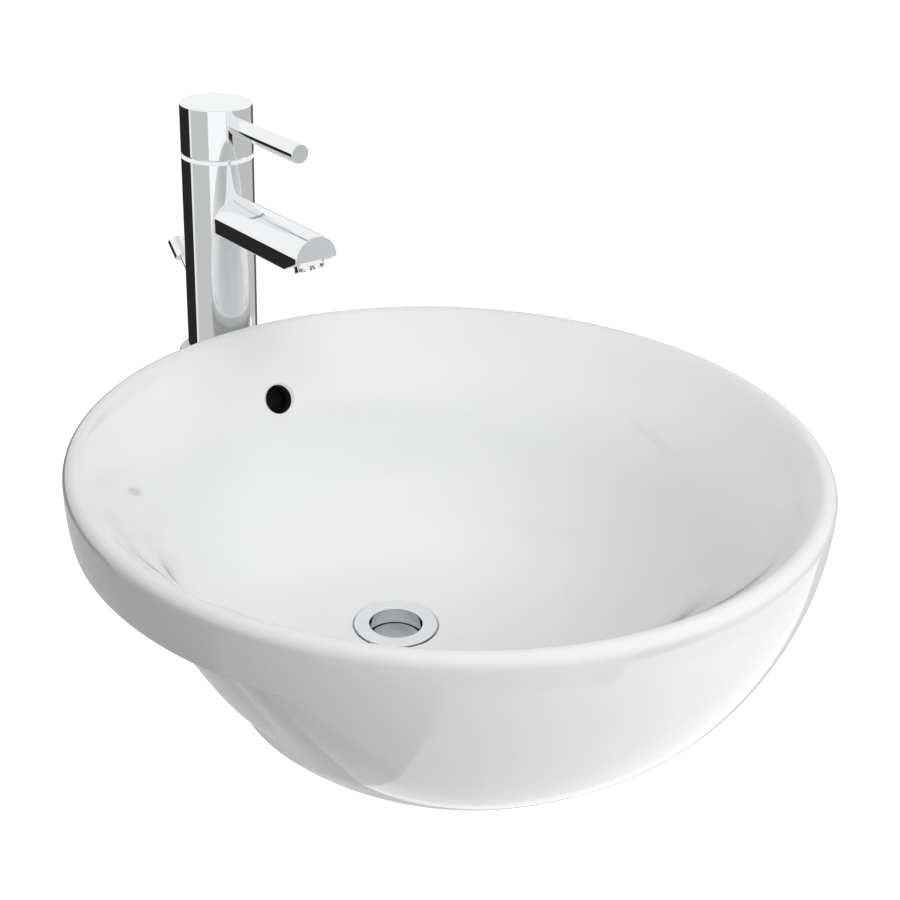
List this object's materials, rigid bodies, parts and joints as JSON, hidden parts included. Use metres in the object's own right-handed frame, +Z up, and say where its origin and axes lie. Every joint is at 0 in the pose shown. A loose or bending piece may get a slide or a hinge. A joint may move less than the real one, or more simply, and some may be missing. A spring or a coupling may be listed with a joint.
{
  "type": "semi recessed basin",
  "caption": "Round glazed semi recessed basin with a single lever tap, an overflow and a pop-up waste worked by a pull rod behind the tap.",
  "frame": {"origin": "on the axis of the round rim, in the plane that rests on the worktop", "axes": "+X to the user's right, +Y from the front of the bowl to the tap, +Z up"},
  "size_m": [0.5, 0.6041, 0.4724],
  "materials": {
    "glaze": "gloss",
    "chrome": "polished",
    "rubber": "matt",
    "brass": "machined",
    "plastic": "moulded",
    "steel": "drawn"
  },
  "bodies": {
    "fixed": {"basin_body": "glaze", "waste_flange": "chrome", "waste_flange_seal": "rubber", "waste_lower_seal": "rubber", "waste_slip_ring": "plastic", "waste_back_nut": "brass", "waste_tail_body": "chrome", "pivot_seat_ring": "plastic", "pivot_cap_nut": "chrome", "tap_body": "chrome", "tap_base_seal": "rubber", "mounting_shank": "brass", "shank_gasket": "rubber", "shank_plate": "steel", "shank_nut": "brass", "spout": "chrome", "aerator_housing": "chrome", "aerator_insert": "plastic", "cartridge_body": "plastic", "cartridge_nut": "brass", "dome_ring": "chrome", "pull_bush": "chrome"},
    "swivel": {"cartridge_carrier": "plastic", "spindle_pin": "steel"},
    "handle": {"cartridge_spindle": "brass", "handle_cap": "chrome", "lever": "chrome", "handle_grub_screw": "chrome"},
    "pull": {"pull_rod": "chrome", "pull_knob": "chrome", "link_pin": "steel"},
    "link": {"link_rod": "steel", "rod_clamp": "brass", "clamp_screw": "steel"},
    "rocker": {"pivot_rod": "steel"},
    "plug": {"plug_cap": "chrome", "plug_seal": "rubber", "plug_stem": "plastic"}
  },
  "joints": [
    {"name": "handle_swivel", "type": "hinge", "parent": "fixed", "child": "swivel", "pos_m": [0, 0.2824, 0.1531], "axis": [0, 0, 1], "range_deg": [-45, 45]},
    {"name": "handle_tilt", "type": "hinge", "parent": "swivel", "child": "handle", "pos_m": [0, 0.2824, 0.1531], "axis": [-1, 0, 0], "range_deg": [0, 22]},
    {"name": "pull_slide", "type": "slide", "parent": "fixed", "child": "pull", "axis": [0, -0.7071, -0.7071], "range_m": [0, 0.0283]},
    {"name": "link_swing", "type": "hinge", "parent": "pull", "child": "link", "pos_m": [0, 0.29202, 0.02082], "axis": [1, 0, 0], "range_deg": [0, 4.8]},
    {"name": "rocker_tilt", "type": "hinge", "parent": "fixed", "child": "rocker", "pos_m": [0, 0.097, -0.2085], "axis": [-1, 0, 0], "range_deg": [0, 6]},
    {"name": "plug_lift", "type": "slide", "parent": "fixed", "child": "plug", "axis": [0, 0, 1], "range_m": [0, 0.0044]}
  ],
  "couplings": [
    {"joint": "link_swing", "follows": "pull_slide", "rad_per_m": 2.918},
    {"joint": "rocker_tilt", "follows": "pull_slide", "rad_per_m": 3.632},
    {"joint": "plug_lift", "follows": "pull_slide", "ratio": 0.1523}
  ]
}
